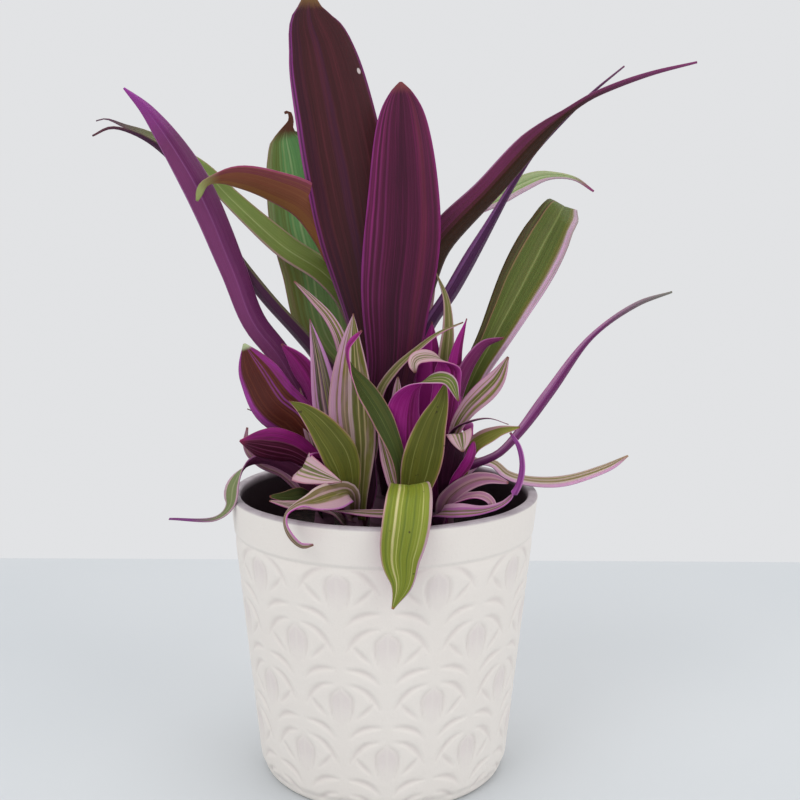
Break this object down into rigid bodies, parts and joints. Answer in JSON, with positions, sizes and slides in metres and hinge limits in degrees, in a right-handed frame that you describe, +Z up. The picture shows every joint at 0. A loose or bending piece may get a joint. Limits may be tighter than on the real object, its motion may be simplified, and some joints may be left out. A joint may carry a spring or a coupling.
{
  "type": "potted tradescantia",
  "caption": "Potted striped foliage plant: long purple and green strap leaves and short offset shoots in a tapered, embossed white ceramic pot.",
  "frame": {"origin": "middle of the pot's flat underside, on the surface that it stands on", "axes": "+Z up along the pot's axis; -Y is the side that the picture shows; +X is the viewer's right"},
  "size_m": [0.2624, 0.1677, 0.35],
  "materials": {
    "ceramic": "satin glaze",
    "earth": "matte, crumbly",
    "stalk": "satin",
    "purple": "satin",
    "maroon": "satin",
    "copper": "satin",
    "green": "satin",
    "pink": "satin"
  },
  "bodies": {
    "root": {"pot": "ceramic", "soil": "earth", "main_stem": "stalk", "leaf_tall_left": "maroon", "leaf_tall_centre": "maroon", "leaf_green_back": "green", "leaf_arch_left": "copper", "leaf_green_left": "green", "leaf_violet_left": "purple", "leaf_dusk_left": "purple", "leaf_long_right": "purple", "leaf_slim_right": "purple", "leaf_back_right": "green", "leaf_broad_right": "green", "leaf_sweep_right": "purple", "leaf_low_right": "pink", "leaf_back_tall": "green", "leaf_back_sweep": "green", "leaf_back_arch": "green", "left_shoot": "maroon", "front_left_shoot": "green", "front_shoot": "green", "right_shoot": "green", "front_right_shoot": "pink", "back_left_shoot": "green", "back_right_shoot": "green"}
  },
  "joints": []
}
